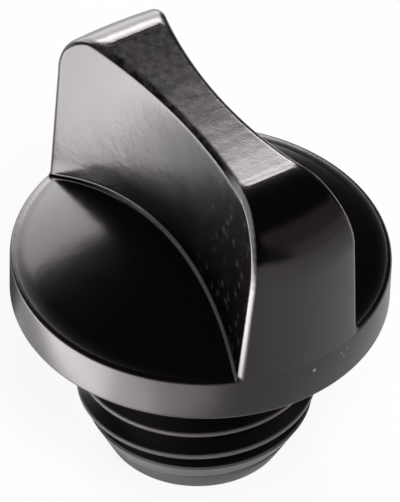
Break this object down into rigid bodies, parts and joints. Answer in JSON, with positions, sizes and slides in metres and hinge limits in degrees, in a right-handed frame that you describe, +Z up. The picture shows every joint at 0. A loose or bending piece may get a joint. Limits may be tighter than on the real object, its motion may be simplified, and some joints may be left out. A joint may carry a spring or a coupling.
{
  "type": "oil level plug",
  "caption": "Moulded plastic oil level plug with a waisted wing grip on a low domed cap, a coarse threaded stub with a tapered nose, and a seal ring under the cap.",
  "frame": {"origin": "centre of the nose's flat end, on the thread axis, with the plug standing on its nose", "axes": "+Z up along the thread axis, from the nose towards the grip; +X along the grip's length"},
  "size_m": [0.031, 0.031, 0.0348],
  "materials": {
    "moulding": "black, satin, finely eroded mould texture",
    "seal": "black, semi-matte"
  },
  "bodies": {
    "root": {"plug": "moulding", "seal_ring": "seal"}
  },
  "joints": []
}
